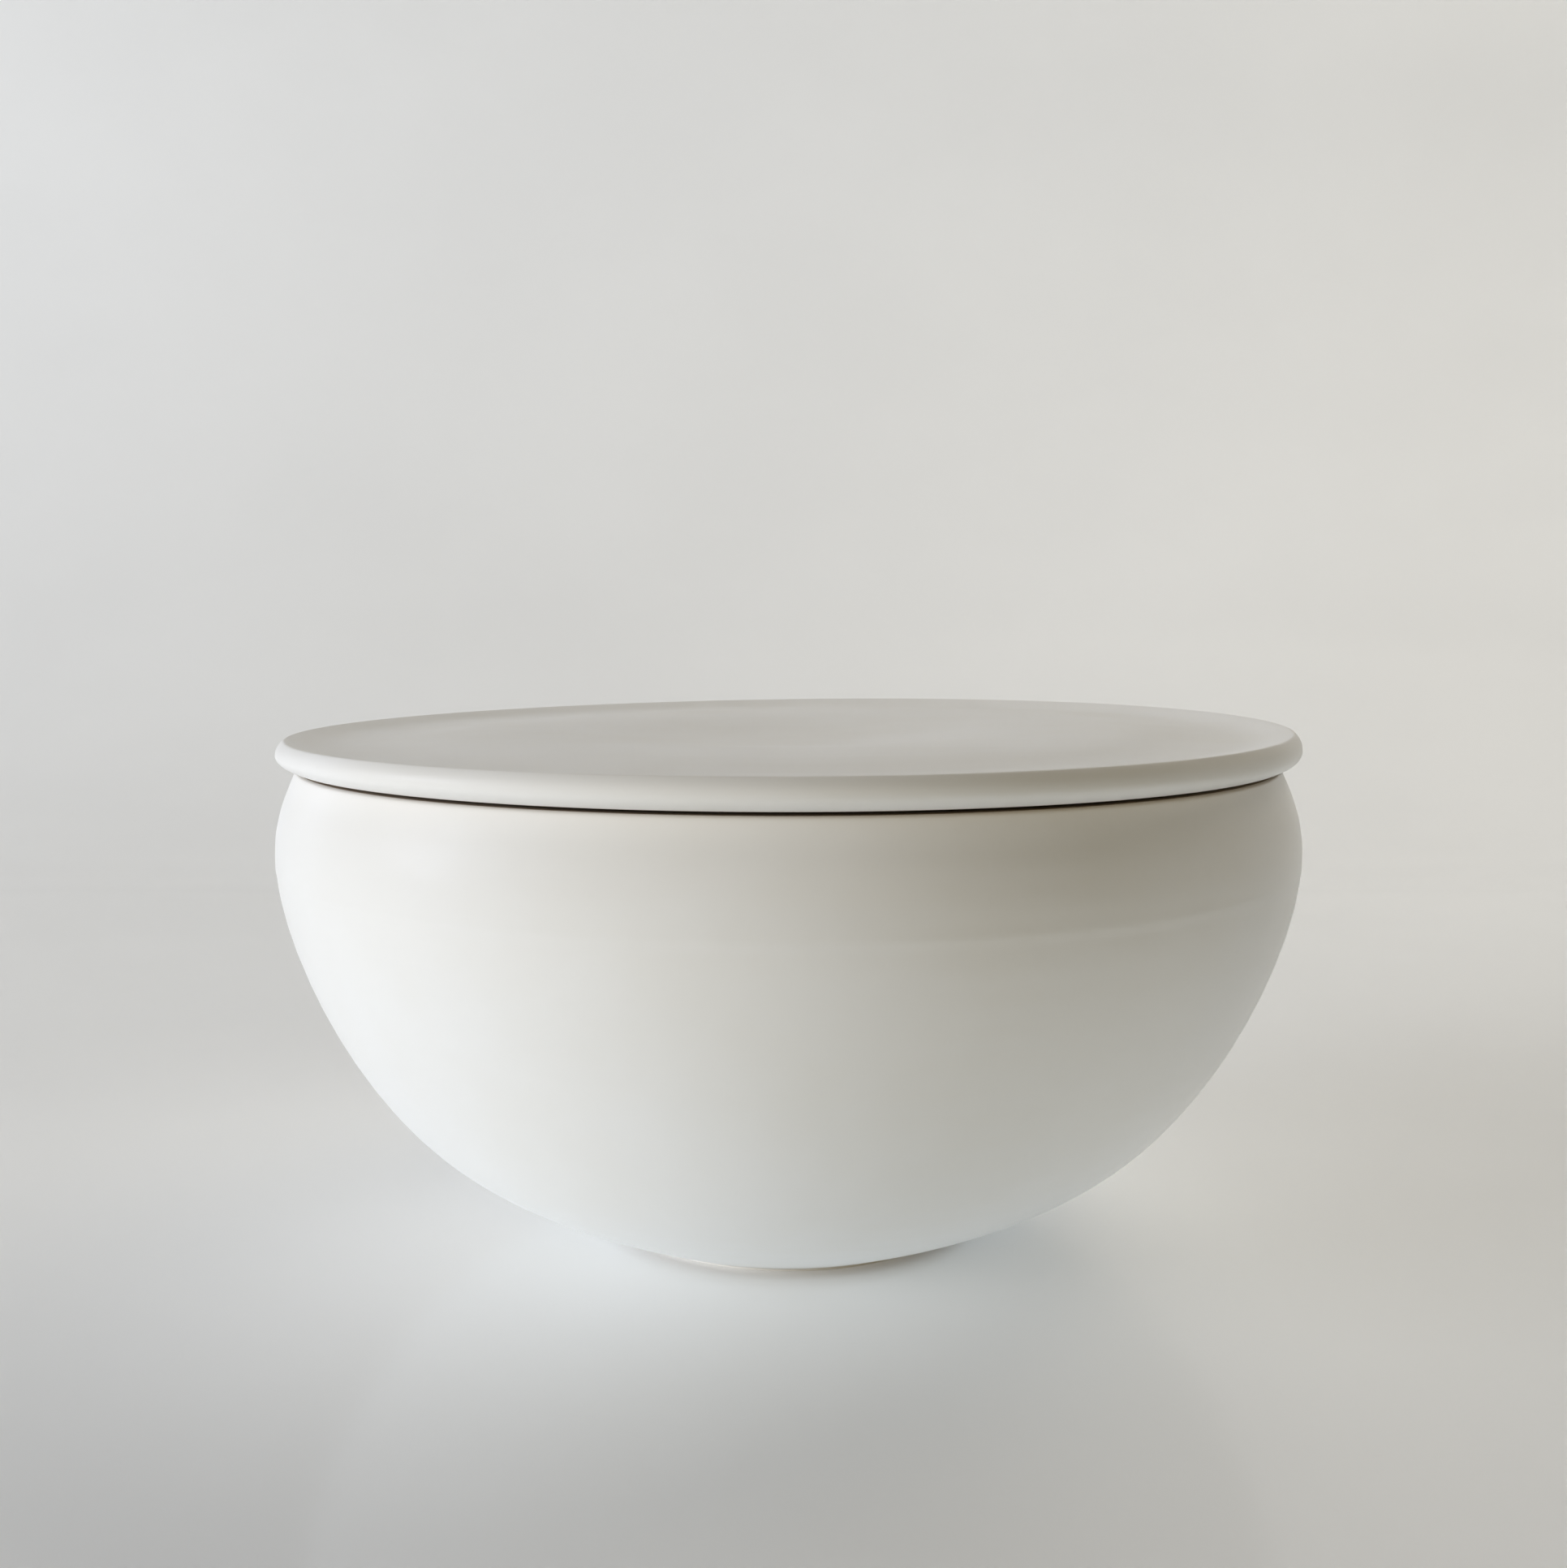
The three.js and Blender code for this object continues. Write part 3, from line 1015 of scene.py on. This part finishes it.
@dataclass
class Studio:
    """A pale sweep of paper, soft lamps and the camera."""

    paper: Colour = (0.87, 0.87, 0.865)
    paper_glow: float = 0.094
    paper_roughness: float = 0.6
    paper_polish: float = 1.0
    paper_polish_roughness: float = 0.12
    mottle_fineness: float = 6.0  # per metre
    mottle_detail: float = 3.0
    mottle_step: Step = (0.3, 0.7)
    mottle_tones: Step = (0.985, 1.015)
    background: float = 0.62
    sweep_front: float = -1.6
    sweep_back: float = 0.45
    sweep_radius: float = 0.5
    sweep_width: float = 3.0
    sweep_height: float = 3.0
    sweep_steps: int = 24
    lamps: tuple[SoftLamp, ...] = (
        SoftLamp("window", (-2.84, -0.4, 0.885), (1.2, 1.0), 7.5, (0.8, 0.84, 1.0), MIDDLE, mirrored=True),
        SoftLamp("window_screen", (-2.82, -0.98, 0.445), (1.6, 0.8), 75.8, (0.89, 0.935, 1.0), MIDDLE),
        SoftLamp("room_front", (0.4, -3.0, 0.9), (2.4, 1.4), 14.9, (1.0, 0.83, 0.45), MIDDLE),
        SoftLamp("back_right", (0.6, 0.8, 1.15), (1.2, 0.6), 8.8, (1.0, 0.955, 0.86), MIDDLE),
        SoftLamp("table_glow", (0.0, 0.0, 0.002), (0.7, 0.7), 0.42, (0.71, 0.86, 1.0), (0.0, 0.0, 1.0)),
    )
    camera_distance: float = 403.9 * MM
    camera_height: float = 140.35 * MM
    camera_tilt: float = math.radians(5.993)
    camera_nearest: float = 10 * MM
    focal_pixels: float = 2250.0
    frame_pixels: float = 1932.0
    axis_right_pixels: float = 5.9
    sensor: float = 36.0

    def lay_paper(self) -> bpy.types.Object:
        """Lays the floor, which curves up into the backdrop.

        Returns:
            The paper's object.
        """
        lift = self.sweep_radius
        arc = [i / self.sweep_steps * UPRIGHT for i in range(self.sweep_steps + 1)]
        profile = [(self.sweep_front, 0.0)]
        profile += [(self.sweep_back + lift * math.sin(a), lift - lift * math.cos(a)) for a in arc]
        profile.append((self.sweep_back + lift, self.sweep_height))
        half = self.sweep_width / 2
        points = [(x, y, z) for y, z in profile for x in (-half, half)]
        quads = [(i, i + 1, i + 3, i + 2) for i in range(0, len(points) - 2, 2)]
        mesh = bpy.data.meshes.new("paper_sweep")
        mesh.from_pydata(points, [], quads)
        mesh.materials.append(self._paper_finish())
        for face in mesh.polygons:
            face.use_smooth = True
        paper = bpy.data.objects.new("paper_sweep", mesh)
        bpy.context.scene.collection.objects.link(paper)
        return paper

    def _paper_finish(self) -> bpy.types.Material:
        """Builds pale paper with a faint mottle and a soft polish, clear from its back.

        Returns:
            The new material.
        """
        material = bpy.data.materials.new("paper")
        material.use_nodes = True
        material.node_tree.nodes.clear()
        graph = Graph(material.node_tree)
        place = graph.add("ShaderNodeTexCoord").outputs["Object"]
        fibres = graph.noise(place, self.mottle_fineness, self.mottle_detail)
        mottle = graph.ramp(fibres, *self.mottle_step, *self.mottle_tones)
        colour = graph.vector("MULTIPLY", graph.scaled(ONES, mottle), self.paper)
        front = graph.add("ShaderNodeBsdfPrincipled", {
            "Base Color": colour,
            "Emission Color": WHITE,
            "Emission Strength": graph.ramp(graph.looked_at(), 0.0, 1.0, 0.0, self.paper_glow),
            "Roughness": self.paper_roughness,
            "Coat Weight": self.paper_polish,
            "Coat Roughness": self.paper_polish_roughness,
        })
        clear = graph.add("ShaderNodeBsdfTransparent")
        back = graph.add("ShaderNodeNewGeometry").outputs["Backfacing"]
        sides = graph.add("ShaderNodeMixShader", {0: back, 1: front.outputs[0], 2: clear.outputs[0]})
        graph.add("ShaderNodeOutputMaterial", {"Surface": sides.outputs[0]})
        return material

    def set_world(self) -> None:
        """Sets the pale tone that stands behind the paper, which is seen and mirrored but lights nothing."""
        world = bpy.data.worlds.new("studio")
        world.use_nodes = True
        world.node_tree.nodes.clear()
        graph = Graph(world.node_tree)
        strength = graph.ramp(graph.looked_at(), 0.0, 1.0, 0.0, self.background)
        light = graph.add("ShaderNodeBackground", {"Color": WHITE, "Strength": strength})
        graph.add("ShaderNodeOutputWorld", {"Surface": light.outputs[0]})
        bpy.context.scene.world = world

    def set_camera(self) -> bpy.types.Object:
        """Sets the camera at the photograph's place.

        Returns:
            The camera's object.
        """
        lens = bpy.data.cameras.new("camera")
        lens.sensor_width = self.sensor
        lens.lens = self.sensor * self.focal_pixels / self.frame_pixels
        lens.clip_start = self.camera_nearest
        camera = bpy.data.objects.new("camera", lens)
        camera.location = (0.0, -self.camera_distance, self.camera_height)
        turn = math.atan(self.axis_right_pixels / self.focal_pixels)
        camera.rotation_euler = (UPRIGHT - self.camera_tilt, 0.0, turn)
        bpy.context.scene.collection.objects.link(camera)
        bpy.context.scene.camera = camera
        return camera

    def build(self) -> None:
        """Sets up paper, lamps, world and camera."""
        self.lay_paper()
        for lamp in self.lamps:
            lamp.hang()
        self.set_world()
        self.set_camera()
        bpy.context.scene.view_settings.view_transform = "Standard"


def glaze_colour(slot: str) -> Colour:
    """The base colour that the record gives to a material slot."""
    found = [m["base_color"] for m in frame["record"]["materials"] if m["slot"] == slot]
    return tuple(found[0])


def main() -> None:
    """Builds bowl, lid and studio, in that order."""
    logging.basicConfig(level=logging.INFO, format="%(name)s: %(message)s")
    _, bowl_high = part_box("bowl")
    lid_low, lid_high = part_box("lid")
    bowl = Bowl(belly_radius=bowl_high.x, rim_height=bowl_high.z)
    lid = Lid(radius=lid_high.x, crest_height=lid_high.z, flange_foot=lid_low.z,
              rim_radius=bowl.rim_radius, mouth_radius=bowl.mouth_radius)
    warp = KilnWarp(radius=lid.radius, seat_height=lid.seat_height, crest_height=lid.crest_height)
    wheel = Wheel(warp)
    bowl_glaze = SatinGlaze("bowl_satin_glaze", glaze_colour("bowl_glaze")).make()
    lid_glaze = SatinGlaze("lid_satin_glaze", glaze_colour("lid_glaze")).make()
    for piece in (bowl.build(wheel, bowl_glaze), lid.build(wheel, lid_glaze)):
        log.info("%s: %d faces", piece.name, len(piece.data.polygons))
    Studio().build()
    log.info("studio set")


if __name__ == "__main__":
    main()
